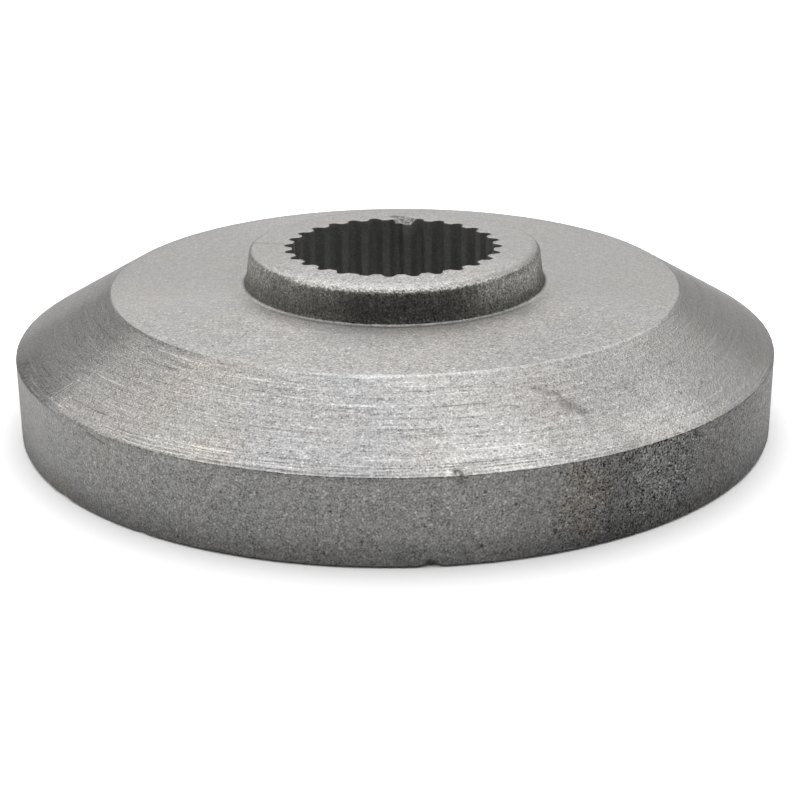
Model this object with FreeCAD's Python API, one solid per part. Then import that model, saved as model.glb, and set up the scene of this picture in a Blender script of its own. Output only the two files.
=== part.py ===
import FreeCAD, Part
import math
import os

# Splined blade adapter of a mower spindle, one piece of sintered steel.
# A round disc rises by a cone to a flat land, with a low hub in the middle.
# An internal involute spline runs through the whole height.
# Millimetres, Z up, the origin at the middle of the flat face that clamps the blade.
Vector = FreeCAD.Vector
Z_AXIS = Vector(0, 0, 1)

# Disc
disc_diameter = 81.0
rim_height = 8.8
rim_foot_chamfer = 0.3
cone_slope = 30.0
land_diameter = 60.6

# Hub, measured where its foot band ends
hub_diameter = 31.8
hub_height = 3.75
hub_draft = 7.0
hub_edge_round = 0.6
foot_band_height = 0.9
foot_band_flare = 0.3
foot_fillet = 0.45

# Internal involute spline, 28 teeth of 32/64 pitch. The grooves have a flat root's depth
# and round bottoms.
tooth_count = 28
pitch_diameter = 22.225
pressure_angle = 30.0
tooth_height = 0.397
groove_depth = 0.536
first_groove_angle = 268.1
mouth_chamfer = 0.4

# End of one tooth, broken off at a slope on the hub's top face
chip_angle = 81.7
chip_slope = 35.0
chip_reach = 0.2

# Heights and radii that follow from the sizes above
disc_radius = disc_diameter / 2
land_radius = land_diameter / 2
land_top = rim_height + (disc_radius - land_radius) * math.tan(math.radians(cone_slope))
hub_top = land_top + hub_height
hub_radius = hub_diameter / 2
pitch_radius = pitch_diameter / 2
tip_radius = pitch_radius - tooth_height
root_radius = pitch_radius + groove_depth
base_radius = pitch_radius * math.cos(math.radians(pressure_angle))


def rounded_profile(corners):
    """Closed profile in the XZ plane. Each corner is radius, height and the radius of its round."""
    edges = []
    stretches = []
    for index, (radius, height, corner_round) in enumerate(corners):
        here = Vector(radius, 0, height)
        before = Vector(corners[index - 1][0], 0, corners[index - 1][1]) - here
        after_corner = corners[(index + 1) % len(corners)]
        after = Vector(after_corner[0], 0, after_corner[1]) - here
        if corner_round == 0:
            stretches.append((here, here))
            continue
        before.normalize()
        after.normalize()
        half_angle = before.getAngle(after) / 2
        reach = corner_round / math.tan(half_angle)
        start = here + before * reach
        end = here + after * reach
        bisector = before + after
        bisector.normalize()
        middle = here + bisector * (corner_round / math.sin(half_angle) - corner_round)
        edges.append(Part.Arc(start, middle, end).toShape())
        stretches.append((start, end))
    for index, (start, end) in enumerate(stretches):
        edges.append(Part.LineSegment(stretches[index - 1][1], start).toShape())
    return Part.Wire(Part.__sortEdges__(edges))


def disc_and_hub():
    """The turned form without its bore, spun about the Z axis."""
    band_top = land_top + foot_band_height
    hub_top_radius = hub_radius - (hub_top - band_top) * math.tan(math.radians(hub_draft))
    corners = [
        (0, 0, 0),
        (disc_radius - rim_foot_chamfer, 0, 0),
        (disc_radius, rim_foot_chamfer, 0),
        (disc_radius, rim_height, 0),
        (land_radius, land_top, 0),
        (hub_radius + foot_band_flare, land_top, foot_fillet),
        (hub_radius, band_top, 0),
        (hub_top_radius, hub_top, hub_edge_round),
        (0, hub_top, 0),
    ]
    return Part.Face(rounded_profile(corners)).revolve(Vector(0, 0, 0), Z_AXIS, 360)


def involute(angle):
    """The involute function, tan of the angle less the angle, in radians."""
    return math.tan(angle) - angle


def groove_half_angle(radius):
    """Half of a groove's width, as an angle at the axis, where its flanks cross a radius."""
    at_pitch = math.pi / (2 * tooth_count)
    flank_pressure = math.acos(base_radius / radius)
    return at_pitch + involute(math.radians(pressure_angle)) - involute(flank_pressure)


def fillet_reach(radius):
    """How far out an arc reaches that is tangent to both flanks where they cross a radius."""
    half_angle = groove_half_angle(radius)
    lean = math.acos(base_radius / radius) - half_angle
    fillet_radius = radius * math.sin(half_angle) / math.cos(lean)
    return radius * math.cos(half_angle) + fillet_radius * (1 - math.sin(lean))


def flank_end_radius():
    """Where the flanks pass into the root fillet, found by halving, so that it meets the root."""
    inner = pitch_radius
    outer = root_radius
    for _ in range(40):
        middle = (inner + outer) / 2
        if fillet_reach(middle) < root_radius:
            inner = middle
        else:
            outer = middle
    return inner


def polar(radius, angle):
    return Vector(radius * math.cos(angle), radius * math.sin(angle), 0)


def flank(centre_angle, side, start_radius, end_radius):
    """One side of a groove, as a curve through points of the involute."""
    points = []
    for step in range(4):
        radius = start_radius + (end_radius - start_radius) * step / 3
        points.append(polar(radius, centre_angle + side * groove_half_angle(radius)))
    curve = Part.BSplineCurve()
    curve.interpolate(points)
    return curve.toShape()


def spline_outline():
    """The bore's outline with its grooves, in the XY plane."""
    form_radius = flank_end_radius()
    pitch_angle = 2 * math.pi / tooth_count
    tip_half_angle = groove_half_angle(tip_radius)
    root_half_angle = groove_half_angle(form_radius)
    edges = []
    for number in range(tooth_count):
        centre = math.radians(first_groove_angle) + number * pitch_angle
        edges.append(flank(centre, -1, tip_radius, form_radius))
        root_start = polar(form_radius, centre - root_half_angle)
        root_end = polar(form_radius, centre + root_half_angle)
        edges.append(Part.Arc(root_start, polar(root_radius, centre), root_end).toShape())
        edges.append(flank(centre, 1, form_radius, tip_radius))
        tip_start = polar(tip_radius, centre + tip_half_angle)
        tip_middle = polar(tip_radius, centre + pitch_angle / 2)
        tip_end = polar(tip_radius, centre + pitch_angle - tip_half_angle)
        edges.append(Part.Arc(tip_start, tip_middle, tip_end).toShape())
    return Part.Wire(edges)


def spline_void():
    """What is taken out for the spline, with the chamfer of its lower mouth."""
    bore = Part.Face(spline_outline()).extrude(Vector(0, 0, hub_top))
    mouth_radius = root_radius + mouth_chamfer
    mouth_depth = mouth_radius - tip_radius
    return bore.fuse(Part.makeCone(mouth_radius, tip_radius, mouth_depth))


def tooth_chip():
    """The wedge that has broken away from one tooth, from groove to groove."""
    width = 2 * pitch_radius * math.tan(math.pi / tooth_count)
    inner = base_radius
    outer = root_radius + chip_reach
    bottom = hub_top - (outer - inner) * math.tan(math.radians(chip_slope))
    top = hub_top + chip_reach
    outline = [
        Vector(inner, -width / 2, bottom),
        Vector(outer, -width / 2, hub_top),
        Vector(outer, -width / 2, top),
        Vector(inner, -width / 2, top),
        Vector(inner, -width / 2, bottom),
    ]
    wedge = Part.Face(Part.makePolygon(outline)).extrude(Vector(0, width, 0))
    wedge.rotate(Vector(0, 0, 0), Z_AXIS, chip_angle)
    return wedge


def blade_adapter():
    return disc_and_hub().cut(spline_void()).cut(tooth_chip())


os.makedirs("parts", exist_ok=True)
blade_adapter().exportStep("parts/blade_adapter.step")
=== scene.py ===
import math

import bpy
import numpy as np
from mathutils import Matrix, Vector, noise


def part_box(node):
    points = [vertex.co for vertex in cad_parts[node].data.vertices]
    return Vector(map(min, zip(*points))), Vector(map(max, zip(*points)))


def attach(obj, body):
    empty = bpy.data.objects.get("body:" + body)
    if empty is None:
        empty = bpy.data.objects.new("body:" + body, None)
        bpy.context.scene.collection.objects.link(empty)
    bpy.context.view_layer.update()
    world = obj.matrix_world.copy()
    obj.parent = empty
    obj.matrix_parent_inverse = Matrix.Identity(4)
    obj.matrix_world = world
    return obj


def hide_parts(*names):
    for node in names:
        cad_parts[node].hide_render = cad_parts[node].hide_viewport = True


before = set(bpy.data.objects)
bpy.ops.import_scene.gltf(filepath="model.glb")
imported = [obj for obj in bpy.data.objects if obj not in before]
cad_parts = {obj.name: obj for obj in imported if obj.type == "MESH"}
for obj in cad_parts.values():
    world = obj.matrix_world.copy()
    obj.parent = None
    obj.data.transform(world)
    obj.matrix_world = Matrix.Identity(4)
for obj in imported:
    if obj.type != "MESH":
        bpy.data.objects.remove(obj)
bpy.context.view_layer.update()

# A splined blade adapter of sintered steel, as one closed mesh of rings about the Z axis.
# Sizes are in millimetres until the mesh is written, and the disc and hub follow the frame.
MM = 0.001
CORNER_LOW, CORNER_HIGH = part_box("blade_adapter")
DISC_RADIUS = (CORNER_HIGH[0] - CORNER_LOW[0]) / 2 / MM
HUB_TOP = CORNER_HIGH[2] / MM

# Disc
HUB_HEIGHT = 3.75
LAND_TOP = HUB_TOP - HUB_HEIGHT
LAND_RADIUS = 30.3
CONE_SLOPE = math.radians(30)
RIM_HEIGHT = LAND_TOP - (DISC_RADIUS - LAND_RADIUS) * math.tan(CONE_SLOPE)
RIM_FOOT_CHAMFER = 0.3

# Hub
HUB_RADIUS = 15.9
HUB_DRAFT = math.radians(7)
HUB_EDGE_ROUND = 0.6
FOOT_BAND_HEIGHT = 0.9
FOOT_BAND_FLARE = 0.3
HUB_EDGE_RADIUS = 15.25

# Spline
TOOTH_COUNT = 28
PITCH_RADIUS = 11.1125
PRESSURE_ANGLE = math.radians(30)
TIP_RADIUS = PITCH_RADIUS - 0.397
ROOT_RADIUS = PITCH_RADIUS + 0.536
BASE_RADIUS = PITCH_RADIUS * math.cos(PRESSURE_ANGLE)
FIRST_GROOVE = math.radians(268.1)
MOUTH_CHAMFER = 0.4
TOOTH_EDGE_ROUND = 0.18
MOUTH_EDGE_ROUND = 0.1
MOUTH_ROUND_INSET = MOUTH_EDGE_ROUND * 0.3
PITCH_ANGLE = 2 * math.pi / TOOTH_COUNT
BORE_OFFSET = (-0.15, 0, 0)

# Mesh
STEPS_PER_TOOTH = 24
AROUND = TOOTH_COUNT * STEPS_PER_TOOTH
COLLAR_RADIUS = 12.5
FIRST_LINE = FIRST_GROOVE - PITCH_ANGLE / 2
COLLAR_SHARES = (0.7, 0.35)
ARC_STEP = 12
SHARP_EDGE = math.radians(50)
# depths of the bore's rings below the hub's top, and heights of those at the lower mouth
BORE_DEPTHS = [0.1, 0.3, 0.55, 0.85, 1.2, 1.7, 2.6, 4.5, 8, 13]
MOUTH_HEIGHTS = [1.34, 0.8, 0.4]
# the mesh lines crowd together at the nicked side, more and more between two radii
FINE_STEPS = 7200
CROWDING = 2.2
CROWDING_WIDTH = math.radians(5)
CROWDED_RADII = (14, 29)
ZONES = ["underside", "rim", "cone", "land", "hub_wall", "hub_top", "bore"]

# Wear and damage, with directions in degrees about the axis. The upper mouth's wear fades over
# a depth, sooner at the smeared groove.
WEAR_DEPTH = 5.0
SMEAR_DEPTH = 1.0
TOOTH_WEAR = 0.05
GROOVE_FILL = 0.03
MOUTH_RAGGEDNESS = 0.035
WORN_TEETH = {249.5: 0.35}
FILLED_GROOVES = {255.2: 0.25, 88.1: 0.75}
SMEARED_GROOVE = 88.1
CHIP_ANGLE = 84.0
CHIP_SLOPE = math.radians(30)
CHIP_REACH = 0.2
CHIP_RADIUS = 11.3
CHIP_DEPTH = 1.6
# from the tooth's middle, in pitches, where the break is whole and where it ends
CHIP_SHARES = (0.38, 0.54)
# direction and radius of the ends of the painted shade along the cleft beside the broken tooth end
CLEFT_SHADE_ENDS = [(90.4, 12.2), (84.0, 11.6)]
NICKED_SIDE = 277.7
# direction, radius, height, size and depth of each nick
NICKS = [
    (277.75, DISC_RADIUS - 0.45, RIM_HEIGHT + 0.26, 0.24, 0.28),
    (278.1, DISC_RADIUS - 0.1, RIM_HEIGHT + 0.05, 0.28, 0.36),
    (273.9, DISC_RADIUS, 0.15, 0.40, 0.25),
    (274.9, DISC_RADIUS, 0.15, 0.50, 0.30),
    (216.6, DISC_RADIUS, 0.2, 0.7, 0.10),
    (234.2, DISC_RADIUS, 0.3, 0.5, 0.15),
]
# start and end on the cone, each as direction and radius, and width
SMUDGES = [
    ((296.2, 34.6), (298.7, 36.0), 1.1),
    ((292.9, 32.7), (296.2, 33.9), 0.6),
]
SMUDGE_DEPTH = 0.012
# ends of the two scratches on the cone, each as direction and radius, and where from their
# middle line the groove and its bright bank fade
SCRATCH_GROOVE = (0.04, 0.12)
SCRATCH_BANK = (0.18, 0.28)
SCRATCHES = [((212.5, 39.5), (213.5, 37.2)), ((215.7, 39.7), (215.6, 38.8))]
# direction and radius of the ends of the scratch on the hub's top
SCRATCH_ENDS = [(174.7, 15.3), (175.6, 11.9)]
# direction, radius and size of the dark specks on the cone
SPECKS = [
    (314.0, 33.9, 0.30), (317.4, 33.1, 0.30), (308.3, 35.0, 0.40), (317.1, 37.0, 0.30),
    (323.2, 36.9, 0.35),
]
# direction, radius, size and change of brightness of the painted highlight on the nick's burr and the
# painted shade in its floor
NICK_PAINTED_LIGHT = [
    (276.6, DISC_RADIUS - 0.3, 0.45, 0.45), (277.65, DISC_RADIUS - 0.45, 0.3, -0.55),
    (278.15, DISC_RADIUS - 0.15, 0.35, -0.6),
]
# direction, height and size of the small dark pits in the rim
PITS = [(274.4, 0.3, 0.8), (290.7, 2.5, 0.3), (285.3, 5.6, 0.22), (280.9, 1.9, 0.25), (281.3, 7.1, 0.22)]
# ends of the thin dark line on the rim, each as direction and height
RIM_LINE = [(224.5, 8.5), (228.3, 8.03)]
# start and end on the rim, each as direction and height, width and strength
STAINS = [
    ((293.5, 8.0), (297.2, 5.6), 2.4, 0.65),
    ((293.0, 4.6), (295.6, 1.9), 2.0, 0.55),
    ((215.6, 1.3), (224.0, 0.4), 1.2, 0.5),
]
# the hub's upper edge is rubbed round in front: how deep, about which direction, and the two
# angles from it between which the rubbing fades
RUBBED_DEPTH = 0.23
RUBBED_MIDDLE = 261
RUBBED_SPREAD = (20, 55)
# radius, height and width of the band that is rubbed and of the bands that are ragged
RUBBED_BAND = (HUB_EDGE_RADIUS + 0.1, HUB_TOP - 0.1, 0.6)
HUB_EDGE_BAND = (HUB_EDGE_RADIUS, HUB_TOP - 0.15, 0.5)
RIM_EDGE_BAND = (DISC_RADIUS, RIM_HEIGHT, 0.25)
FOOT_EDGE_BAND = (DISC_RADIUS, 0.1, 0.4)

# Relief: height and size of the lumps on the whole surface, along the edges and in the broken
# tooth end, and height and spacing of the turned ridges and how fast they change round the axis
SMALL_LUMPS = (0.006, 0.9)
WIDE_LUMPS = (0.010, 6.0)
HUB_EDGE_LUMPS = (0.050, 0.5)
RIM_EDGE_LUMPS = (0.030, 0.7)
CHIP_LUMPS = [(0.16, 0.7), (0.08, 0.3)]
RIDGES = [(0.006, 0.42, 2.2), (0.007, 1.3, 1)]

# Colours, and sizes of the texture
CONE_COOL = (0.445, 0.440, 0.432, 1)
CONE_WARM = (0.456, 0.438, 0.421, 1)
LAND_COOL = (0.503, 0.494, 0.485, 1)
LAND_WARM = (0.512, 0.494, 0.478, 1)
RIM_COOL = (0.219, 0.219, 0.216, 1)
RIM_WARM = (0.224, 0.219, 0.210, 1)
WALL_COLOUR = (0.312, 0.308, 0.287)
BORE_COLOUR = (0.220, 0.220, 0.216)
BRIGHTEST = (0.95, 0.95, 0.94)
STAIN_TINT = (0.96, 0.84, 0.72)
GRAIN_SIZE = 0.18
MOTTLE_SIZE = 0.6
FLECK_SIZE = 0.16
FLECK_SHARE = 0.07
PORE_SHARE = 0.03
MOTTLE_PART = 0.3
FLECK_PART = 0.7
PORE_PART = 0.45
PATCH_SIZE = 8.0
BUMP_HEIGHT = 0.0001
CONE_CONTRAST = 0.58
LAND_CONTRAST = 0.70
RIM_CONTRAST = 0.85
WALL_CONTRAST = 0.62
BORE_CONTRAST = 0.35
# roughness in the hollows of the grain and on its heights
CONE_ROUGHNESS = (0.5, 0.38)
LAND_ROUGHNESS = (0.56, 0.46)
RIM_ROUGHNESS = (0.58, 0.46)
WALL_ROUGHNESS = (0.58, 0.45)
BORE_ROUGHNESS = 0.62
# how fast the noise of each kind of streak changes along it and across it
SHORT_STREAKS = (20, 7.0)
LONG_STREAKS = (3.5, 3.2)
LINE_BREAKS = (12, 0.7)
WANDER = (2.5, 0.6)
EDGE_LINE_SPACING = 0.31
EDGE_BAND = 1.4

# Shares by which each mark swings the brightness, or by which it lifts or lowers it
SHORT_LINES_SWING = 0.17
LONG_LINES_SWING = 0.28
LIGHT_LINES_GAIN = 0.34
DARK_LINES_LOSS = 0.21
SMUDGE_LOSS = 0.34
SCRATCH_BANK_GAIN = 0.55
SCRATCH_GROOVE_LOSS = 0.35
SPECK_LOSS = 0.42
BRUISE_LOSS = 0.45
LAND_EDGE_GAIN = 0.25
BRIGHT_EDGE_GAIN = 0.26
BRIGHT_FOOT_GAIN = 0.36
BROKEN_END_LOSS = 0.55
BROKEN_BORE_GAIN = 0.4
FOOT_SHADE_LOSS = 0.36
HUB_SCRATCH_LOSS = 0.22
RIGHT_EDGE_LOSS = 0.3
DRAG_SWING = 0.8
BRIGHT_WALL_GAIN = 0.55
WALL_EDGE_GAIN = 2.2
WALL_FOOT_LOSS = 0.45
PATCH_LOSS = 0.28
RIGHT_SIDE_LOSS = 0.38
LEFT_END_LOSS = 0.25
RIM_LINE_LOSS = 0.45
PIT_LOSS = 0.6

# A side is a middle direction, and how far from it a look is whole and where it ends, in degrees.
CONE_GRAIN_SIDE = (262, 35, 85)
CONE_LINES_SIDE = (247, 28, 60)
EDGE_LINES_SIDE = (263, 20, 42)
DARK_BAND_SIDE = (263, 30, 62)
LAND_EDGE_SIDE = (285, 40, 60)
LAND_EDGE_GAP = (228, 14, 22)
BRUISED_SIDE = (204, 6, 13)
FACE_GRAIN_SIDE = (270, 30, 80)
BRIGHT_TOP_SIDE = (272, 20, 75)
BRIGHT_FOOT_SIDE = (268, 25, 52)
BRIGHT_EDGE_SIDE = (272, 30, 52)
RIGHT_EDGE_SIDE = (325, 24, 44)
FOOT_SHADE_SIDE = (275, 34, 58)
WALL_GRAIN_SIDE = (292, 42, 78)
DRAGGED_SIDE = (286, 8, 24)
BRIGHT_WALL_SIDE = (321, 10, 24)
RIM_GRAIN_SIDE = (262, 25, 62)
RIM_PATCH = (303, 6, 14)
RIM_RIGHT_SIDE = (336, 26, 38)
RIM_LEFT_END = (184, 8, 28)

# a side and its change of brightness or its tint, for each part of the surface
# the cone: painted shade on its left and right, where it faces sideways, and a painted highlight in front
CONE_SECTORS = [(199, 8, 18, -0.22), (353, 8, 20, -0.13), (279, 5, 13, 0.09)]
CONE_TINTS = [(260.5, 5, 14, (0.985, 0.998, 1.028)), (238.5, 3, 11, (1.015, 1.0, 0.975))]
LAND_SECTORS = [(20, 20, 60, -0.09), (158, 15, 40, -0.09), (306, 10, 26, -0.08)]
# the hub's wall: painted light towards its sides and painted shade in front
WALL_SECTORS = [(324, 14, 27, 0.40), (238, 8, 22, 0.2), (196, 12, 26, 0.3), (272, 14, 28, -0.28)]
RIM_SECTORS = [(293, 5, 10, -0.14), (300.6, 1.2, 4, -0.24), (309.5, 1, 4, 0.12), (318, 4, 9, -0.13)]
# painted highlights and painted shade on the cone: a side, the radii where it starts and is whole, and
# the change of brightness
CONE_PLACES = [
    (216, 8, 20, 36.0, 31.5, -0.15), (283, 4, 10, 33.5, 36.5, 0.10), (247, 6, 14, 37.5, 39.5, 0.10),
    (311, 3, 9, 35.0, 38.0, 0.20), (290, 3, 9, 37.0, 34.0, -0.06), (303, 5, 11, 38.5, 36.0, -0.08),
    (291, 5, 12, 37.5, 39.5, 0.12), (222, 14, 26, 38.6, 39.6, 0.14),
]

# Room and camera
FLOOR_SIZE = 4.0
FLOOR_FRONT = -0.10
FLOOR_SEEN = (1.6, 1.6, 1.6, 1)
CEILING_LEVEL = 1.38
WALL_LEVELS = [("Y", 1, 1.72), ("X", 1, 0.45), ("Y", -1, 0.06)]
LEFT_PLACE = (-0.6, 0.1, 0.3)
LEFT_SIZE = 0.4
LEFT_POWER = 0.46
CAMERA_ELEVATION = math.radians(20.735)
CAMERA_DISTANCE = 191.3
CAMERA_TARGET = (0.479, 0, 0.748)
CAMERA_ROLL = math.radians(0.405)
CAMERA_LENS = 77.80


def smoothstep(low, high, value):
    """0 below low, 1 above high and smooth between."""
    share = np.clip((value - low) / (high - low), 0, 1)
    return share * share * (3 - 2 * share)


def angle_between(angles, middle):
    """How far each angle is from a middle one, either way round the axis."""
    return np.abs(np.remainder(angles - middle + math.pi, 2 * math.pi) - math.pi)


def rounded_profile(corners):
    """Points along a profile with rounded corners, each with the zone that it lies in.
    A corner is radius, height, round, and the zone and point spacing of the stretch after it."""
    points = []
    spans = []
    for index in range(len(corners)):
        here = np.array(corners[index][:2])
        corner_round = corners[index][2]
        if corner_round == 0:
            spans.append([here])
            continue
        before = np.array(corners[index - 1][:2]) - here
        after = np.array(corners[index + 1][:2]) - here
        before /= np.linalg.norm(before)
        after /= np.linalg.norm(after)
        half_angle = math.acos(np.clip(before @ after, -1, 1)) / 2
        bisector = (before + after) / np.linalg.norm(before + after)
        centre = here + bisector * corner_round / math.sin(half_angle)
        reach = corner_round / math.tan(half_angle)
        start = here + before * reach - centre
        end = here + after * reach - centre
        steps = max(2, round(math.degrees(math.pi - 2 * half_angle) / ARC_STEP))
        arc = [start + (end - start) * step / steps for step in range(steps + 1)]
        spans.append([centre + spoke / np.linalg.norm(spoke) * corner_round for spoke in arc])
    for index, span in enumerate(spans):
        zone_before = corners[max(index - 1, 0)][3]
        zone_after = corners[index][3]
        for place, point in enumerate(span):
            zone = zone_before if place < len(span) / 2 else zone_after
            points.append((point[0], point[1], zone))
        if index + 1 < len(spans):
            start = span[-1]
            end = spans[index + 1][0]
            steps = max(1, round(np.linalg.norm(end - start) / corners[index][4]))
            for step in range(1, steps):
                point = start + (end - start) * step / steps
                points.append((point[0], point[1], zone_after))
    return points


def outer_profile():
    """From the underside's bore mouth round the rim and over the hub to the collar at the teeth."""
    band_top = LAND_TOP + FOOT_BAND_HEIGHT
    hub_top_radius = HUB_RADIUS - (HUB_TOP - band_top) * math.tan(HUB_DRAFT)
    return rounded_profile([
        (ROOT_RADIUS + MOUTH_CHAMFER, 0, 0, "underside", 5.5),
        (DISC_RADIUS - 1.1, 0, 0, "underside", 1.0),
        (DISC_RADIUS - RIM_FOOT_CHAMFER, 0, 0.12, "rim", 0.3),
        (DISC_RADIUS, RIM_FOOT_CHAMFER, 0.15, "rim", 0.6),
        (DISC_RADIUS, RIM_HEIGHT, 0.14, "cone", 0.22),
        (LAND_RADIUS, LAND_TOP, 0.25, "land", 1.2),
        (HUB_RADIUS + FOOT_BAND_FLARE, LAND_TOP, 0.45, "hub_wall", 0.25),
        (HUB_RADIUS, band_top, 0.5, "hub_wall", 0.35),
        (hub_top_radius, HUB_TOP, HUB_EDGE_ROUND, "hub_top", 0.6),
        (COLLAR_RADIUS, HUB_TOP, 0, "hub_top", 0.6),
    ])


def groove_half_angle(radius):
    """Half of a groove's width, as an angle at the axis, where its flanks cross a radius."""
    flank_pressure = math.acos(BASE_RADIUS / radius)
    at_pitch = math.pi / (2 * TOOTH_COUNT) + math.tan(PRESSURE_ANGLE) - PRESSURE_ANGLE
    return at_pitch - math.tan(flank_pressure) + flank_pressure


def root_fillet(radius):
    """Radius of an arc tangent to both flanks where they cross a radius, and where its centre is."""
    half_angle = groove_half_angle(radius)
    lean = math.acos(BASE_RADIUS / radius) - half_angle
    fillet_radius = radius * math.sin(half_angle) / math.cos(lean)
    return fillet_radius, radius * math.cos(half_angle) - fillet_radius * math.sin(lean)


def flank_end_radius():
    """Where the flanks pass into the root fillet, found by halving, so that it meets the root."""
    inner = PITCH_RADIUS
    outer = ROOT_RADIUS
    for _ in range(40):
        middle = (inner + outer) / 2
        if sum(root_fillet(middle)) < ROOT_RADIUS:
            inner = middle
        else:
            outer = middle
    return inner


def groove_radius(angle):
    """The bore's radius at an angle from the middle of a groove."""
    flank_end = flank_end_radius()
    end_angle = groove_half_angle(flank_end)
    fillet_radius, fillet_centre = root_fillet(flank_end)
    radii = np.linspace(TIP_RADIUS, flank_end, 40)
    flank_angles = np.array([groove_half_angle(radius) for radius in radii])
    flank = np.interp(-np.abs(angle), -flank_angles, radii)
    across = np.clip(fillet_centre * np.abs(angle), 0, fillet_radius)
    fillet = fillet_centre + np.sqrt(fillet_radius ** 2 - across ** 2)
    return np.where(np.abs(angle) < end_angle, fillet, flank)


def tooth_outline():
    """Angles and radii of one pitch of the bore, from tooth tip to tooth tip, evenly spaced.
    The tooth corners are rounded by wear."""
    fine_steps = 960
    angles = (np.arange(fine_steps) / fine_steps - 0.5) * PITCH_ANGLE
    radii = groove_radius(angles)
    reach = round(fine_steps * TOOTH_EDGE_ROUND / (PITCH_ANGLE * PITCH_RADIUS))
    for _ in range(2):
        radii = np.mean([np.roll(radii, shift) for shift in range(-reach // 2, reach // 2 + 1)], axis=0)
    step_lengths = np.hypot(np.diff(radii, append=radii[0]), PITCH_ANGLE / fine_steps * radii)
    travelled = np.concatenate([[0], np.cumsum(step_lengths)])
    wanted = np.arange(STEPS_PER_TOOTH) / STEPS_PER_TOOTH * travelled[-1]
    at_steps = np.interp(wanted, travelled, np.arange(fine_steps + 1))
    sampled_angles = (at_steps / fine_steps - 0.5) * PITCH_ANGLE
    return sampled_angles, np.interp(at_steps, np.arange(fine_steps), radii)


def worn_outline():
    """The bore's outline as angles, radii at its upper mouth and deep inside, and the depth
    over which the one passes into the other."""
    period_angles, period_radii = tooth_outline()
    rows = []
    for number in range(TOOTH_COUNT):
        groove = FIRST_GROOVE + number * PITCH_ANGLE
        for offset, radius in zip(period_angles, period_radii):
            angle = groove + offset
            tooth = groove + math.copysign(PITCH_ANGLE / 2, offset)
            lowest = TIP_RADIUS + tooth_wear(tooth)
            highest = ROOT_RADIUS - groove_fill(groove)
            ragged = MOUTH_RAGGEDNESS * noise.noise(Vector((math.cos(angle), math.sin(angle), 0)) * 26)
            depth = SMEAR_DEPTH if is_near(groove, SMEARED_GROOVE) else WEAR_DEPTH
            rows.append((angle, min(max(radius, lowest), highest) + ragged, radius, depth))
    return np.array(rows).T


def is_near(angle, degrees):
    """Whether an angle lies within a quarter of the pitch of a direction given in degrees."""
    return abs(math.remainder(angle - math.radians(degrees), 2 * math.pi)) < PITCH_ANGLE / 4


def listed(table, angle, otherwise):
    """The value that a table gives for the tooth or groove at an angle, or another value."""
    for degrees, value in table.items():
        if is_near(angle, degrees):
            return value
    return otherwise


def tooth_wear(angle):
    """How far the tip of the tooth at an angle is worn back."""
    return listed(WORN_TEETH, angle, TOOTH_WEAR + TOOTH_WEAR * math.sin(5 * angle) * math.sin(11 * angle))


def groove_fill(angle):
    """How much shallower the groove at an angle is than a whole one."""
    return listed(FILLED_GROOVES, angle, GROOVE_FILL + GROOVE_FILL * math.sin(7 * angle))


def disc_angles():
    """Directions of the outer mesh lines, closer together at the nicks in the rim."""
    fine = np.linspace(0, 2 * math.pi, FINE_STEPS + 1)
    away = angle_between(fine + FIRST_LINE, math.radians(NICKED_SIDE))
    density = 1 + CROWDING * fall_off(away, CROWDING_WIDTH)
    travelled = np.concatenate([[0], np.cumsum((density[1:] + density[:-1]) / 2)])
    wanted = np.arange(AROUND) / AROUND * travelled[-1]
    return FIRST_LINE + np.interp(wanted, travelled, fine)


def around_axis(radii, angles, heights):
    """Vectors with the given radii, angles about the axis and heights."""
    parts = [radii * np.cos(angles), radii * np.sin(angles), heights]
    return np.stack(np.broadcast_arrays(*parts), axis=-1)


def outer_rings():
    """Points, outward normals and zones of the rings from the lower mouth to the collar."""
    profile = outer_profile()
    radii = np.array([point[0] for point in profile])
    heights = np.array([point[1] for point in profile])
    even = FIRST_LINE + np.arange(AROUND) / AROUND * 2 * math.pi
    crowded = smoothstep(*CROWDED_RADII, radii)[:, None]
    angles = even + (disc_angles() - even) * crowded
    slope_radius = np.gradient(radii)[:, None]
    slope_height = np.gradient(heights)[:, None]
    length = np.hypot(slope_radius, slope_height)
    points = around_axis(radii[:, None], angles, heights[:, None])
    normals = around_axis(slope_height / length, angles, -slope_radius / length)
    return points, normals, [point[2] for point in profile]


def bore_rings():
    """Points, inward normals and zones of the rings from the collar down to the lower mouth."""
    angles, mouth, deep, wear_depths = worn_outline()
    even = FIRST_LINE + np.arange(AROUND) / AROUND * 2 * math.pi
    rings = []
    zones = []
    for share in COLLAR_SHARES:
        across = share * COLLAR_RADIUS + (1 - share) * (mouth + MOUTH_EDGE_ROUND)
        turned = angles + (even - angles) * share
        rings.append((across, turned, HUB_TOP, 1 - share))
        zones.append("hub_top")
    rings.append((mouth + MOUTH_EDGE_ROUND, angles, HUB_TOP, 1))
    rings.append((mouth + MOUTH_ROUND_INSET, angles, HUB_TOP - MOUTH_ROUND_INSET, 1))
    zones += ["hub_top", "bore"]
    for depth in BORE_DEPTHS + [HUB_TOP - height for height in MOUTH_HEIGHTS]:
        height = HUB_TOP - depth
        wall = deep + (mouth - deep) * np.exp(-depth / wear_depths)
        rings.append((np.maximum(wall, ROOT_RADIUS + MOUTH_CHAMFER - height), angles, height, 1))
        zones.append("bore")
    points = []
    normals = []
    for radii, turned, height, offset_share in rings:
        points.append(around_axis(radii, turned, height) + np.array(BORE_OFFSET) * offset_share)
        if height == HUB_TOP:
            normals.append(around_axis(0, turned, 1))
        else:
            normals.append(around_axis(-1, turned, 0))
    return np.array(points), np.array(normals), zones


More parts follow.
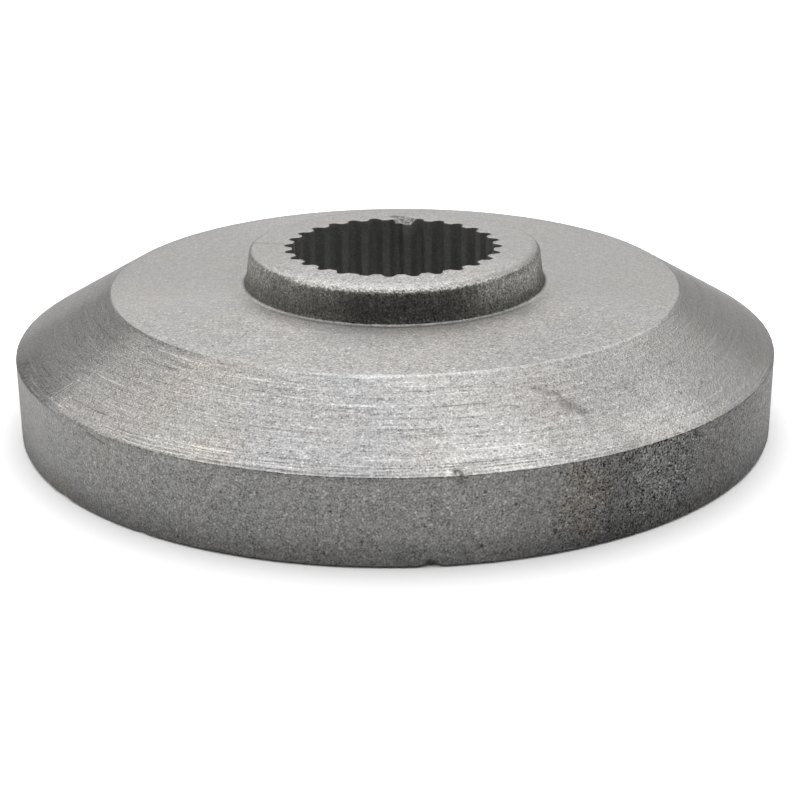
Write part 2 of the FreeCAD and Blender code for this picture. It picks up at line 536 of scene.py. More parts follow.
def swell(points, size, layer):
    """Smooth noise from -1 to 1 at every point, in lumps of a size, different in each layer."""
    shift = Vector((17.3, 5.1, 9.7)) * layer
    flat = points.reshape(-1, 3) / size
    values = [noise.noise(Vector(point) + shift) for point in flat.tolist()]
    return np.array(values).reshape(points.shape[:-1])


def polar_point(degrees, radius, height):
    return around_axis(radius, math.radians(degrees), height)


def rim_point(degrees, height):
    return polar_point(degrees, DISC_RADIUS, height)


def cone_point(degrees, radius):
    """A point on the cone, from its direction and radius."""
    return polar_point(degrees, radius, RIM_HEIGHT + (DISC_RADIUS - radius) * math.tan(CONE_SLOPE))


def distance_to_stroke(points, start, end):
    """Distance of every point from the straight stroke between two points."""
    along = end - start
    share = np.clip((points - start) @ along / (along @ along), 0, 1)
    return np.linalg.norm(points - start - share[..., None] * along, axis=-1)


def zone_weight(zones, name):
    """1 on the rings of a zone and 0 elsewhere, as a column."""
    return np.array([1.0 if zone == name else 0.0 for zone in zones])[:, None]


def fall_off(distance, width):
    """1 at no distance, falling to about a third at a width and to 0 farther away."""
    return np.exp(-(distance / width) ** 2)


def near_edge(points, radius, height, width):
    """1 on a level circle about the axis, falling off over a width."""
    radii = np.hypot(points[..., 0], points[..., 1])
    return fall_off(np.hypot(radii - radius, points[..., 2] - height), width)


def rubbed_edge(points):
    """How far the hub's upper edge is worn round in front."""
    angles = np.arctan2(points[..., 1], points[..., 0])
    away = angle_between(angles, math.radians(RUBBED_MIDDLE))
    in_front = 1 - smoothstep(*np.radians(RUBBED_SPREAD), away)
    return RUBBED_DEPTH * in_front * near_edge(points, *RUBBED_BAND)


def surface_relief(points, zones):
    """How far every point stands proud of the plain form."""
    height, size = SMALL_LUMPS
    relief = height * swell(points, size, 1) * (1 - zone_weight(zones, "underside"))
    height, size = WIDE_LUMPS
    relief += height * swell(points, size, 2)
    relief += turning_rings(points, zones)
    relief += ragged_edges(points) - rubbed_edge(points)
    for degrees, radius, height, size, depth in NICKS:
        distance = np.linalg.norm(points - polar_point(degrees, radius, height), axis=-1)
        relief -= depth * fall_off(distance, size)
    for start, end, width in SMUDGES:
        distance = distance_to_stroke(points, cone_point(*start), cone_point(*end))
        relief -= SMUDGE_DEPTH * fall_off(distance, width)
    return relief


def turning_rings(points, zones):
    """Fine ridges that the turning tool left round the cone."""
    radii = np.hypot(points[..., 0], points[..., 1])
    inward = DISC_RADIUS - radii
    east = points[..., 0] / radii
    north = points[..., 1] / radii
    ridges = 0
    for layer, (height, spacing, pace) in enumerate(RIDGES, 3):
        place = np.stack([east * pace, north * pace, inward / spacing], axis=-1)
        ridges += height * swell(place, 1, layer)
    return ridges * zone_weight(zones, "cone")


def ragged_edges(points):
    """Small unevenness along the hub's upper edge and the rim's two edges."""
    height, size = HUB_EDGE_LUMPS
    ragged = height * near_edge(points, *HUB_EDGE_BAND) * swell(points, size, 5)
    rim_edges = near_edge(points, *RIM_EDGE_BAND) + near_edge(points, *FOOT_EDGE_BAND)
    height, size = RIM_EDGE_LUMPS
    ragged += height * rim_edges * (swell(points, size, 6) - 0.5)
    return ragged


def break_tooth_end(points):
    """Takes the broken end off one tooth, leaving a rough slope from groove to groove."""
    radii = np.hypot(points[..., 0], points[..., 1])
    angles = np.arctan2(points[..., 1], points[..., 0])
    aside = angle_between(angles, math.radians(CHIP_ANGLE))
    inside = 1 - smoothstep(*[share * PITCH_ANGLE for share in CHIP_SHARES], aside)
    rough = 0
    for layer, (height, size) in enumerate(CHIP_LUMPS, 7):
        rough += height * swell(points, size, layer)
    outer = ROOT_RADIUS + CHIP_REACH
    slope_height = HUB_TOP - (outer - radii) * math.tan(CHIP_SLOPE) + rough
    lowered = np.minimum(points[..., 2], slope_height)
    deep_enough = (radii < outer) & (radii > TIP_RADIUS - 0.1) & (points[..., 2] > HUB_TOP - CHIP_DEPTH)
    broken = points.copy()
    broken[..., 2] += (lowered - points[..., 2]) * inside * deep_enough
    return broken


def body_mesh():
    """The whole body as one closed mesh of rings, with a material for each zone. Only the
    underside is shaded flat."""
    outer_points, outer_normals, outer_zones = outer_rings()
    bore_points, bore_normals, bore_zones = bore_rings()
    points = np.concatenate([outer_points, bore_points])
    normals = np.concatenate([outer_normals, bore_normals])
    zones = outer_zones + bore_zones
    relief = surface_relief(points, zones)
    points = break_tooth_end(points + normals * relief[..., None])
    points[..., 2] = np.clip(points[..., 2], 0, HUB_TOP)
    radii = np.hypot(points[..., 0], points[..., 1])
    points[..., :2] *= np.minimum(1, DISC_RADIUS / radii)[..., None]
    here = np.arange(len(zones) * AROUND).reshape(-1, AROUND)
    beside = np.roll(here, -1, axis=1)
    corners = [here, beside, np.roll(beside, -1, axis=0), np.roll(here, -1, axis=0)]
    faces = np.stack(corners, axis=-1).reshape(-1, 4)
    zone_of_face = np.repeat([ZONES.index(zone) for zone in zones], AROUND)
    mesh = bpy.data.meshes.new("blade_adapter_body")
    mesh.from_pydata((points.reshape(-1, 3) * MM).tolist(), [], faces.tolist())
    mesh.polygons.foreach_set("material_index", zone_of_face.tolist())
    mesh.validate()
    mesh.set_sharp_from_angle(angle=SHARP_EDGE)
    mesh.polygons.foreach_set("use_smooth", (zone_of_face != ZONES.index("underside")).tolist())
    return mesh


class NodeTree:
    """A short way to write a shader: each call adds a node and gives its output. An input is
    named, with _ for a space, or is i and its number."""

    def __init__(self, tree):
        self.tree = tree
        tree.nodes.clear()

    def add(self, kind, settings=None, output=0, **inputs):
        node = self.tree.nodes.new("ShaderNode" + kind)
        for name, value in (settings or {}).items():
            setattr(node, name, value)
        for name, value in inputs.items():
            key = int(name[1:]) if name[0] == "i" and name[1:].isdigit() else name.replace("_", " ")
            socket = node.inputs[key]
            if isinstance(value, bpy.types.NodeSocket):
                self.tree.links.new(value, socket)
            else:
                socket.default_value = value
        return node.outputs[output]

    def math(self, operation, first, second=0.0, third=0.0):
        return self.add("Math", {"operation": operation}, i0=first, i1=second, i2=third)

    def chain(self, operation, values):
        result = values[0]
        for value in values[1:]:
            result = self.math(operation, result, value)
        return result

    def total(self, *values):
        return self.chain("ADD", values)

    def product(self, *values):
        return self.chain("MULTIPLY", values)

    def swing(self, value, reach):
        """Turns a value from 0 to 1 into one that swings about 0, over a reach."""
        return self.math("MULTIPLY_ADD", value, reach, -reach / 2)

    def dimmed(self, mask, loss):
        """1 outside a mask, and inside it less by a loss, or more where the loss is negative."""
        return self.math("MULTIPLY_ADD", mask, -loss, 1.0)

    def vector(self, operation, first, second=(0, 0, 0), output=0, **inputs):
        return self.add("VectorMath", {"operation": operation}, output, i0=first, i1=second, **inputs)

    def span(self, value, low, high, to_low=0.0, to_high=1.0, shape="LINEAR"):
        settings = {"interpolation_type": shape}
        return self.add("MapRange", settings, Value=value, From_Min=low, From_Max=high,
                        To_Min=to_low, To_Max=to_high)

    def mix_colour(self, share, first, second):
        return self.add("Mix", {"data_type": "RGBA"}, 2, i0=share, i6=first, i7=second)

    def noise(self, where, scale, detail=1.0, roughness=0.5, output=0):
        return self.add("TexNoise", None, output, Vector=where, Scale=scale, Detail=detail,
                        Roughness=roughness)

    def chance(self, where, size):
        """A random value from 0 to 1 for each grain of a size."""
        colour = self.add("TexVoronoi", None, 1, Vector=where, Scale=1 / size)
        return self.vector("DOT_PRODUCT", colour, (1, 0, 0), output=1)


def place_in_mm(tree):
    """Where a point lies on the part, in millimetres."""
    where = tree.add("TexCoord", output=3)
    return tree.vector("SCALE", where, Scale=1 / MM)


def height_of(tree, where):
    return tree.vector("DOT_PRODUCT", where, (0, 0, 1), output=1)


def radius_of(tree, where):
    flat = tree.vector("MULTIPLY", where, (1, 1, 0))
    return tree.vector("LENGTH", flat, output=1)


def facing(tree, where, degrees, inner, outer):
    """1 within an angle of a direction about the axis, falling to 0 at a wider one."""
    flat = tree.vector("NORMALIZE", tree.vector("MULTIPLY", where, (1, 1, 0)))
    cosine = tree.vector("DOT_PRODUCT", flat, tuple(polar_point(degrees, 1, 0)), output=1)
    return tree.span(cosine, math.cos(math.radians(outer)), math.cos(math.radians(inner)),
                     shape="SMOOTHSTEP")


def by_side(tree, where, side, elsewhere, there):
    """A value that passes from one away from a side to another on it."""
    return tree.span(facing(tree, where, *side), 0, 1, elsewhere, there)


def sectors(tree, where, changes):
    """Brightness of lighter and darker sectors about the axis, as a factor."""
    factor = 1.0
    for *side, change in changes:
        factor = tree.product(factor, tree.dimmed(facing(tree, where, *side), -change))
    return factor


def circle_distance(tree, where, radius, height):
    """Distance from a level circle about the axis."""
    aside = tree.math("SUBTRACT", radius_of(tree, where), radius)
    above = tree.math("SUBTRACT", height_of(tree, where), height)
    squares = tree.total(tree.product(aside, aside), tree.product(above, above))
    return tree.math("SQRT", squares)


def stretched_round(tree, where, along, across):
    """Coordinates whose noise runs in long streaks round the axis."""
    direction = tree.vector("NORMALIZE", tree.vector("MULTIPLY", where, (1, 1, 0)))
    spread = tree.vector("SCALE", direction, Scale=along)
    upward = tree.add("CombineXYZ", Z=tree.product(radius_of(tree, where), across))
    return tree.vector("ADD", spread, upward)


def warped(tree, where, size, reach):
    """Coordinates pushed about by noise, which makes the edges of a mask ragged."""
    push = tree.vector("SUBTRACT", tree.noise(where, 1 / size, 2, 0.6, output=1), (0.5, 0.5, 0.5))
    return tree.vector("ADD", where, tree.vector("SCALE", push, Scale=reach * 2))


def stroke_distance(tree, where, start, end):
    """Distance from the straight stroke between two points."""
    along = tuple(np.array(end) - np.array(start))
    length_squared = sum(part * part for part in along)
    from_start = tree.vector("SUBTRACT", where, tuple(start))
    dot = tree.vector("DOT_PRODUCT", from_start, along, output=1)
    share = tree.add("Clamp", Value=tree.math("DIVIDE", dot, length_squared))
    nearest = tree.vector("SCALE", along, Scale=share)
    return tree.vector("DISTANCE", from_start, nearest, output=1)


def soft_mask(tree, distance, inner, outer):
    """1 within an inner distance, falling to 0 at an outer one."""
    return tree.span(distance, inner, outer, 1, 0, "SMOOTHSTEP")


def spot(tree, where, centre, size):
    distance = tree.vector("DISTANCE", where, tuple(centre), output=1)
    return soft_mask(tree, distance, size * 0.4, size)


def metal_grain(tree, where, contrast, strength):
    """Brightness and relief of packed grains, with bright flecks and open pores among them.
    The contrast is how far the brightness swings where the strength is 1."""
    fine = tree.span(tree.noise(where, 1 / GRAIN_SIZE), 0.28, 0.72)
    mottle = tree.span(tree.noise(where, 1 / MOTTLE_SIZE), 0.3, 0.7)
    chance = tree.chance(where, FLECK_SIZE)
    fleck = tree.span(chance, 1 - FLECK_SHARE, 1 - FLECK_SHARE / 2)
    pore = tree.span(chance, PORE_SHARE, PORE_SHARE / 2)
    swing = tree.total(tree.swing(fine, contrast), tree.swing(mottle, contrast * MOTTLE_PART),
                       tree.product(fleck, contrast * FLECK_PART),
                       tree.product(pore, -contrast * PORE_PART))
    brightness = tree.math("MULTIPLY_ADD", swing, strength, 1.0)
    height = tree.total(tree.product(fine, 0.6), tree.product(mottle, 0.4), tree.product(pore, -0.4))
    return brightness, height


def shade(tree, colour, brightness):
    """A colour scaled by a brightness, kept within what bare metal gives back."""
    scaled = tree.vector("SCALE", colour, Scale=brightness)
    return tree.vector("MINIMUM", scaled, BRIGHTEST)


def tinted(tree, where, cool, warm):
    """A colour that wanders between a cool and a warm tint over a centimetre or so."""
    patches = tree.span(tree.noise(where, 1 / PATCH_SIZE, 2), 0.38, 0.62)
    return tree.mix_colour(patches, cool, warm)


def finish_metal(tree, colour, roughness, height, strength, metallic=1.0):
    """Closes a metal shader: its colour, roughness and relief come from sockets."""
    normal = tree.add("Bump", Height=height, Strength=strength, Distance=BUMP_HEIGHT)
    shader = tree.add("BsdfPrincipled", Base_Color=colour, Metallic=metallic,
                      Roughness=roughness, Normal=normal)
    close_shader(tree, shader)


def close_shader(tree, shader):
    output = tree.tree.nodes.new("ShaderNodeOutputMaterial")
    tree.tree.links.new(shader, output.inputs["Surface"])


def new_material(name):
    material = bpy.data.materials.new(name)
    material.use_nodes = True
    return material, NodeTree(material.node_tree)


def turning_marks(tree, where):
    """Brightness of the fine lines round the axis: short ones, long ones and a band of them
    at the cone's outer edge."""
    inward = tree.math("SUBTRACT", DISC_RADIUS, radius_of(tree, where))
    short = tree.span(tree.noise(stretched_round(tree, where, *SHORT_STREAKS), 1.0), 0.3, 0.7)
    long = tree.noise(stretched_round(tree, where, *LONG_STREAKS), 1.0, 2, 0.6)
    light_lines = tree.span(long, 0.60, 0.68)
    dark_lines = tree.span(long, 0.40, 0.32)
    wander = tree.noise(stretched_round(tree, where, *WANDER), 1.0)
    phase = tree.math("MULTIPLY_ADD", inward, 2 * math.pi / EDGE_LINE_SPACING, tree.product(wander, 14.0))
    edge_lines = tree.math("SINE", phase)
    edge_band = soft_mask(tree, inward, EDGE_BAND * 0.7, EDGE_BAND)
    broken = tree.span(tree.noise(stretched_round(tree, where, *LINE_BREAKS), 1.0), 0.35, 0.6)
    swing = tree.total(tree.swing(short, SHORT_LINES_SWING), tree.swing(long, LONG_LINES_SWING),
                       tree.product(light_lines, LIGHT_LINES_GAIN),
                       tree.product(dark_lines, -DARK_LINES_LOSS))
    front = by_side(tree, where, CONE_LINES_SIDE, 0.35, 1)
    clear = by_side(tree, where, EDGE_LINES_SIDE, 0.03, 0.22)
    band_change = by_side(tree, where, DARK_BAND_SIDE, 0.05, -0.08)
    return tree.total(tree.product(swing, front), tree.product(edge_lines, edge_band, broken, clear),
                      tree.product(edge_band, band_change))


def cone_damage(tree, where):
    """What the smudge, the scratches, the specks and the bruised left end take off the brightness,
    as a factor, and how far they cut into the relief."""
    ragged = warped(tree, where, 0.7, 0.8)
    soft = [soft_mask(tree, stroke_distance(tree, ragged, cone_point(*start), cone_point(*end)), 0, width)
            for start, end, width in SMUDGES]
    smudge = tree.math("MAXIMUM", soft[0], soft[1])
    factor = tree.dimmed(smudge, SMUDGE_LOSS)
    cut = tree.product(smudge, 0.2)
    for start, end in SCRATCHES:
        distance = stroke_distance(tree, where, cone_point(*start), cone_point(*end))
        groove = soft_mask(tree, distance, *SCRATCH_GROOVE)
        banks = tree.math("SUBTRACT", soft_mask(tree, distance, *SCRATCH_BANK), groove)
        factor = tree.product(factor, tree.dimmed(banks, -SCRATCH_BANK_GAIN),
                              tree.dimmed(groove, SCRATCH_GROOVE_LOSS))
        cut = tree.total(cut, tree.product(groove, 0.8))
    for degrees, radius, size in SPECKS:
        mask = spot(tree, ragged, cone_point(degrees, radius), size)
        factor = tree.product(factor, tree.dimmed(mask, SPECK_LOSS))
    inward = tree.math("SUBTRACT", DISC_RADIUS, radius_of(tree, where))
    bruise = tree.product(facing(tree, ragged, *BRUISED_SIDE), soft_mask(tree, inward, 0.3, 4.0))
    coarse = tree.span(tree.noise(where, 2.2, 1), 0.35, 0.65)
    bruise = tree.product(bruise, tree.span(coarse, 0, 1, 1.0, 0.3))
    # painted highlight on the nick's burr and painted shade in its floor
    for degrees, radius, size, change in NICK_PAINTED_LIGHT:
        mask = spot(tree, where, cone_point(degrees, radius), size)
        factor = tree.product(factor, tree.dimmed(mask, -change))
    return tree.product(factor, tree.dimmed(bruise, BRUISE_LOSS)), cut


def turned_cone():
    """Turned steel: fine lines round the axis over the grain."""
    material, tree = new_material("turned_cone")
    where = place_in_mm(tree)
    strength = by_side(tree, where, CONE_GRAIN_SIDE, 0.45, 1)
    brightness, height = metal_grain(tree, where, CONE_CONTRAST, strength)
    marks = turning_marks(tree, where)
    factor, cut = cone_damage(tree, where)
    # a painted highlight along the land's edge in front, turning to painted shade on the left
    land_edge = tree.math("ABSOLUTE", tree.math("SUBTRACT", radius_of(tree, where), LAND_RADIUS + 0.15))
    land_edge_highlight = tree.product(soft_mask(tree, land_edge, 0.06, 0.2),
                             tree.math("SUBTRACT", facing(tree, where, *LAND_EDGE_SIDE),
                                       facing(tree, where, *LAND_EDGE_GAP)))
    brightness = tree.total(brightness, marks, tree.product(land_edge_highlight, LAND_EDGE_GAIN))
    # painted shade where the cone faces sideways, and painted highlights and shade in broad places
    factor = tree.product(factor, sectors(tree, where, CONE_SECTORS))
    for *side, start, full, change in CONE_PLACES:
        mask = tree.product(facing(tree, where, *side), tree.span(radius_of(tree, where), start, full))
        factor = tree.product(factor, tree.dimmed(mask, -change))
    colour = tinted(tree, where, CONE_COOL, CONE_WARM)
    for *side, tint in CONE_TINTS:
        tinted_colour = tree.vector("MULTIPLY", colour, tint)
        colour = tree.mix_colour(facing(tree, where, *side), colour, tinted_colour)
    colour = shade(tree, colour, tree.product(brightness, factor))
    height = tree.total(height, tree.product(marks, 1.2), tree.product(cut, -1.0))
    finish_metal(tree, colour, tree.span(height, 0.2, 1.0, *CONE_ROUGHNESS), height, 0.5)
    return material


def painted_edge_highlight(tree, where):
    """Painted highlight along the hub's upper edge in front, in lumps, from 0 to 1."""
    band = soft_mask(tree, circle_distance(tree, where, HUB_EDGE_RADIUS, HUB_TOP - 0.35), 0.2, 0.5)
    lumps = tree.span(tree.noise(where, 4.2, 2, 0.7), 0.48, 0.56, 0.1, 1.0)
    return tree.product(band, lumps, facing(tree, where, *BRIGHT_EDGE_SIDE))


def broken_end(tree, where):
    """How strongly the broken tooth end and the painted shade along the cleft beside it show, from 0 to
    1.35.
    """
    ragged = warped(tree, where, 0.5, 0.5)
    below = tree.span(height_of(tree, where), HUB_TOP - 0.02, HUB_TOP - 0.1)
    around = spot(tree, ragged, polar_point(CHIP_ANGLE, CHIP_RADIUS, HUB_TOP - 0.4), 2.0)
    ends = [polar_point(*end, HUB_TOP) for end in CLEFT_SHADE_ENDS]
    # painted shade along the cleft beside the broken tooth end
    cleft_shade = soft_mask(tree, stroke_distance(tree, ragged, *ends), 0.1, 0.8)
    mixed = tree.span(tree.noise(where, 2.6, 2, 0.7), 0.4, 0.6, 0.55, 1.35)
    return tree.product(tree.math("MAXIMUM", tree.product(below, around), cleft_shade), mixed)


def foot_shade(tree, where):
    """Painted shade in front, in the crease where the hub's foot runs into the land, from 0 to 1."""
    distance = circle_distance(tree, where, HUB_RADIUS + FOOT_BAND_FLARE + 0.25, LAND_TOP + 0.1)
    return tree.product(soft_mask(tree, distance, 0.2, 0.45), facing(tree, where, *FOOT_SHADE_SIDE))


def hub_scratch(tree, where):
    """A faint straight scratch from the hub's left edge to the spline, from 0 to 1."""
    ends = [polar_point(*end, HUB_TOP) for end in SCRATCH_ENDS]
    return soft_mask(tree, stroke_distance(tree, where, *ends), 0.05, 0.35)


def right_edge_darkening(tree, where):
    """Where the hub's top is darker near its upper edge on the right, from 0 to 1."""
    distance = circle_distance(tree, where, HUB_EDGE_RADIUS + 0.2, HUB_TOP)
    return tree.product(soft_mask(tree, distance, 0.2, 1.1), facing(tree, where, *RIGHT_EDGE_SIDE))


def painted_front_light(tree, where):
    """Painted light and shade: the hub's top lighter in front and a little darker elsewhere, and the land
    lighter near the hub's foot in front.
    """
    radius = radius_of(tree, where)
    raised = tree.span(height_of(tree, where), RIM_HEIGHT / 2, RIM_HEIGHT)
    on_hub = soft_mask(tree, radius, 16.0, 16.6)
    top = tree.product(on_hub, by_side(tree, where, BRIGHT_TOP_SIDE, -0.06, 0.07))
    at_foot = tree.product(soft_mask(tree, radius, 17.0, 22.0), tree.dimmed(on_hub, 1))
    at_foot = tree.product(at_foot, facing(tree, where, *BRIGHT_FOOT_SIDE), BRIGHT_FOOT_GAIN)
    return tree.product(tree.total(top, at_foot), raised)


def pressed_face():
    """Pale level faces as they left the die: the land, the hub's top and the underside."""
    material, tree = new_material("pressed_face")
    where = place_in_mm(tree)
    strength = by_side(tree, where, FACE_GRAIN_SIDE, 0.4, 1)
    brightness, height = metal_grain(tree, where, LAND_CONTRAST, strength)
    # painted highlight along the hub's upper edge, and painted light on the hub's top and the land in
    # front
    brightness = tree.total(brightness, tree.product(painted_edge_highlight(tree, where), BRIGHT_EDGE_GAIN),
                            painted_front_light(tree, where))
    on_land = tree.span(radius_of(tree, where), 16.0, 17.5)
    land_change = tree.math("SUBTRACT", sectors(tree, where, LAND_SECTORS), 1.0)
    land = tree.math("MULTIPLY_ADD", land_change, on_land, 1.0)
    # painted shade at the hub's foot in front is among these darker marks
    brightness = tree.product(brightness, land,
                              tree.dimmed(broken_end(tree, where), BROKEN_END_LOSS),
                              tree.dimmed(foot_shade(tree, where), FOOT_SHADE_LOSS),
                              tree.dimmed(hub_scratch(tree, where), HUB_SCRATCH_LOSS),
                              tree.dimmed(right_edge_darkening(tree, where), RIGHT_EDGE_LOSS))
    colour = shade(tree, tinted(tree, where, LAND_COOL, LAND_WARM), brightness)
    finish_metal(tree, colour, tree.span(height, 0.2, 1.0, *LAND_ROUGHNESS), height, 0.35)
    return material


def hub_wall():
    """The hub's wall: dark, rough, with faint marks of the drag out of the die, painted shade at its foot
    and in front, and painted light on its sides and along its upper edge.
    """
    material, tree = new_material("hub_wall")
    where = place_in_mm(tree)
    strength = by_side(tree, where, WALL_GRAIN_SIDE, 0.7, 1)
    brightness, height = metal_grain(tree, where, WALL_CONTRAST, strength)
    brightness = tree.math("POWER", tree.math("MAXIMUM", brightness, 0.1), 1.8)
    upright = tree.vector("MULTIPLY", where, (1, 1, 0.15))
    drag = tree.span(tree.noise(upright, 3.6), 0.3, 0.7)
    dragged = by_side(tree, where, DRAGGED_SIDE, 0.22, 0.55)
    brightness = tree.total(brightness, tree.product(tree.swing(drag, DRAG_SWING), dragged))
    shadow = tree.span(height_of(tree, where), LAND_TOP + 0.2, LAND_TOP + 2.6, 0.62, 1.0)
    # painted highlight in a band part way down the wall on the right, and painted light and shade by side
    from_middle = tree.math("ABSOLUTE", tree.math("SUBTRACT", height_of(tree, where), HUB_TOP - 1.7))
    rounded = tree.product(soft_mask(tree, from_middle, 0.5, 1.5),
                           facing(tree, where, *BRIGHT_WALL_SIDE), BRIGHT_WALL_GAIN)
    sides = tree.total(sectors(tree, where, WALL_SECTORS), rounded)
    # painted highlight along the upper edge, where the wall is also made rougher
    edge_highlight = painted_edge_highlight(tree, where)
    brightness = tree.total(tree.product(brightness, shadow, sides), tree.product(edge_highlight, WALL_EDGE_GAIN))
    # painted shade at the hub's foot in front
    brightness = tree.product(brightness, tree.dimmed(foot_shade(tree, where), WALL_FOOT_LOSS))
    colour = shade(tree, WALL_COLOUR, brightness)
    height = tree.total(height, tree.product(drag, dragged))
    roughness = tree.total(tree.span(height, 0.2, 1.2, *WALL_ROUGHNESS), tree.product(edge_highlight, 0.25))
    finish_metal(tree, colour, roughness, height, 0.6)
    return material


def bore_wall():
    """The spline's wall, dulled by old oil."""
    material, tree = new_material("bore_wall")
    where = place_in_mm(tree)
    brightness, height = metal_grain(tree, where, BORE_CONTRAST, 1.0)
    brightness = tree.product(brightness, tree.dimmed(broken_end(tree, where), -BROKEN_BORE_GAIN))
    colour = shade(tree, BORE_COLOUR, brightness)
    finish_metal(tree, colour, BORE_ROUGHNESS, height, 0.3, metallic=0.25)
    return material


def rim_stain(tree, where, colour):
    """Adds old brown stains to the rim's colour."""
    ragged = warped(tree, where, 1.6, 1.4)
    for start, end, width, strength in STAINS:
        distance = stroke_distance(tree, ragged, rim_point(*start), rim_point(*end))
        mask = tree.product(soft_mask(tree, distance, 0, width), strength)
        stained = tree.vector("MULTIPLY", colour, STAIN_TINT)
        colour = tree.mix_colour(mask, colour, stained)
    return colour


def rim_wall():
    """The rim's wall, with painted shade below and painted light above, a rough dark patch, brown stains,
    pits and one thin line.
    """
    material, tree = new_material("rim_wall")
    where = place_in_mm(tree)
    height_up = height_of(tree, where)
    ragged = warped(tree, where, 3.0, 3.0)
    patch = facing(tree, ragged, *RIM_PATCH)
    right_side = facing(tree, ragged, *RIM_RIGHT_SIDE)
    left_end = facing(tree, ragged, *RIM_LEFT_END)
    strength = tree.total(by_side(tree, where, RIM_GRAIN_SIDE, 0.4, 0.9),
                          right_side, tree.product(patch, 0.9))
    brightness, height = metal_grain(tree, where, RIM_CONTRAST, strength)
    # painted shade lower down, where the rim mirrors the floor's shadow, and painted light towards its
    # top
    height_shading = tree.product(tree.span(height_up, 0.2, 3.8, 0.70, 1.06, "SMOOTHSTEP"),
                        tree.span(height_up, 3.4, 7.6, 1.0, 1.14))
    line = stroke_distance(tree, where, *[rim_point(*end) for end in RIM_LINE])
    brightness = tree.product(brightness, height_shading, sectors(tree, where, RIM_SECTORS),
                              tree.dimmed(patch, PATCH_LOSS), tree.dimmed(right_side, RIGHT_SIDE_LOSS),
                              tree.dimmed(left_end, LEFT_END_LOSS),
                              tree.dimmed(soft_mask(tree, line, 0.05, 0.14), RIM_LINE_LOSS))
    for degrees, up, size in PITS:
        pit = spot(tree, where, rim_point(degrees, up), size)
        brightness = tree.product(brightness, tree.dimmed(pit, PIT_LOSS))
        height = tree.total(height, tree.product(pit, -0.8))
    colour = shade(tree, tinted(tree, where, RIM_COOL, RIM_WARM), brightness)
    colour = rim_stain(tree, where, colour)
    finish_metal(tree, colour, tree.span(height, 0.2, 1.0, *RIM_ROUGHNESS), height, 0.5)
    return material


def body_materials():
    face = pressed_face()
    return {"underside": face, "rim": rim_wall(), "cone": turned_cone(), "land": face,
            "hub_wall": hub_wall(), "hub_top": face, "bore": bore_wall()}


def build_body():
    mesh = body_mesh()
    materials = body_materials()
    for zone in ZONES:
        mesh.materials.append(materials[zone])
    body = bpy.data.objects.new("blade_adapter_body", mesh)
    bpy.context.scene.collection.objects.link(body)
    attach(body, "root")
    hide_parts("blade_adapter")
    return body


def floor_material():
    """White to the camera and to reflections, and a plain pale grey to all other light."""
    material, tree = new_material("floor")
    rays = tree.tree.nodes.new("ShaderNodeLightPath")
    seen = tree.math("MAXIMUM", rays.outputs["Is Camera Ray"], rays.outputs["Is Glossy Ray"])
    seen = tree.math("MAXIMUM", seen, rays.outputs["Is Transmission Ray"])
    colour = tree.mix_colour(seen, (0.8, 0.8, 0.8, 1), FLOOR_SEEN)
    shader = tree.add("BsdfDiffuse", Color=colour)
    close_shader(tree, shader)
    return material


def build_floor():
    mesh = bpy.data.meshes.new("floor")
    half = FLOOR_SIZE / 2
    corners = [(-half, FLOOR_FRONT, 0), (half, FLOOR_FRONT, 0), (half, half, 0), (-half, half, 0)]
    mesh.from_pydata(corners, [], [(0, 1, 2, 3)])
    mesh.materials.append(floor_material())
    floor = bpy.data.objects.new("floor", mesh)
    bpy.context.scene.collection.objects.link(floor)


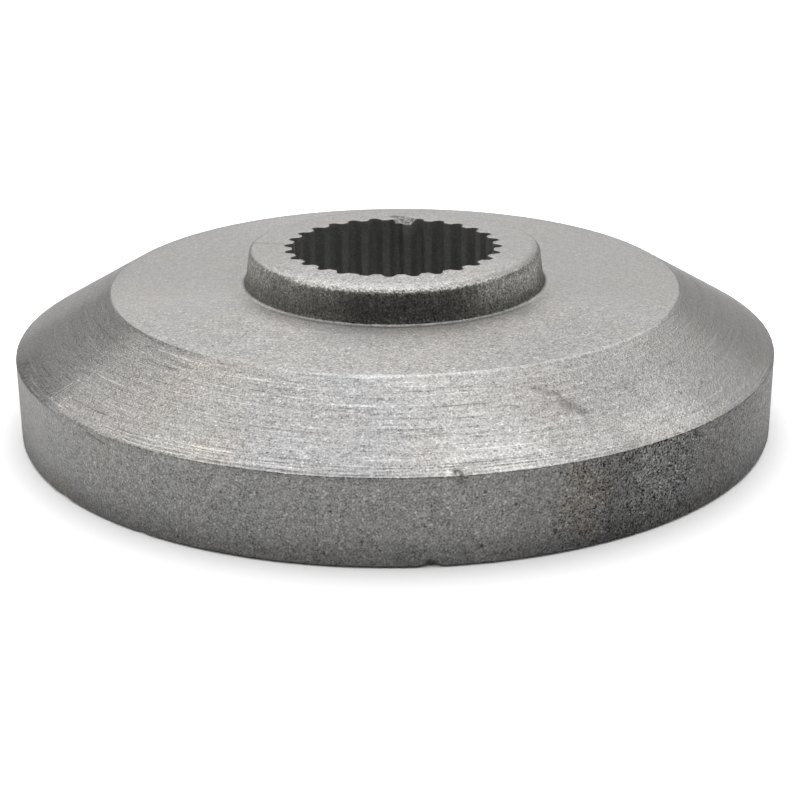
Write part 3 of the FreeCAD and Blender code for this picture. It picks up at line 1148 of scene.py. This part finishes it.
def build_world():
    """A pale room: a bright ceiling, a bright wall behind and dimmer ones right and in front."""
    world = bpy.data.worlds.new("room")
    world.use_nodes = True
    bpy.context.scene.world = world
    tree = NodeTree(world.node_tree)
    direction = tree.add("TexCoord")
    parts = tree.tree.nodes.new("ShaderNodeSeparateXYZ")
    tree.tree.links.new(direction, parts.inputs[0])
    level = radius_of(tree, direction)
    ceiling = tree.span(parts.outputs["Z"], 0.62, 0.88, shape="SMOOTHSTEP")
    walls = tree.span(parts.outputs["Z"], 0.25, 0.5, shape="SMOOTHSTEP")
    walls = tree.math("SUBTRACT", walls, ceiling)
    total = tree.product(ceiling, CEILING_LEVEL)
    for axis, sign, wall_level in WALL_LEVELS:
        towards_wall = tree.product(parts.outputs[axis], sign)
        towards_wall = tree.math("DIVIDE", tree.math("MAXIMUM", towards_wall, 0.0), level)
        light = tree.product(tree.math("POWER", towards_wall, 2.0), wall_level)
        total = tree.total(total, tree.product(light, walls))
    colour = tree.add("CombineColor", Red=total, Green=total, Blue=total)
    rays = tree.tree.nodes.new("ShaderNodeLightPath")
    seen = tree.mix_colour(rays.outputs["Is Camera Ray"], colour, (1, 1, 1, 1))
    background = tree.add("Background", Color=seen, Strength=1.0)
    output = tree.tree.nodes.new("ShaderNodeOutputWorld")
    tree.tree.links.new(background, output.inputs["Surface"])


def softbox(name, place, size, power):
    """A square area lamp at a place in metres, turned to the origin."""
    lamp = bpy.data.lights.new(name, "AREA")
    lamp.shape = "SQUARE"
    lamp.size = size
    lamp.energy = power
    holder = bpy.data.objects.new(name, lamp)
    holder.location = place
    holder.rotation_euler = (-Vector(place)).to_track_quat("-Z", "Y").to_euler()
    bpy.context.scene.collection.objects.link(holder)


def build_camera():
    """The camera, set back along its line of sight from the point that it looks at."""
    towards = Vector((0, math.cos(CAMERA_ELEVATION), -math.sin(CAMERA_ELEVATION)))
    right = Vector((1, 0, 0))
    up = right.cross(towards)
    tilt = Matrix.Rotation(CAMERA_ROLL, 3, towards)
    rotation = Matrix((tilt @ right, tilt @ up, -towards)).transposed().to_4x4()
    camera = bpy.data.cameras.new("camera")
    camera.lens = CAMERA_LENS
    camera.sensor_width = 36
    camera.clip_start = 0.01
    holder = bpy.data.objects.new("camera", camera)
    target = Vector(CAMERA_TARGET) * MM
    holder.matrix_world = Matrix.Translation(target - towards * CAMERA_DISTANCE * MM) @ rotation
    bpy.context.scene.collection.objects.link(holder)
    bpy.context.scene.camera = holder


build_body()
build_floor()
build_world()
softbox("left_softbox", LEFT_PLACE, LEFT_SIZE, LEFT_POWER)
build_camera()
bpy.context.scene.view_settings.view_transform = "Standard"
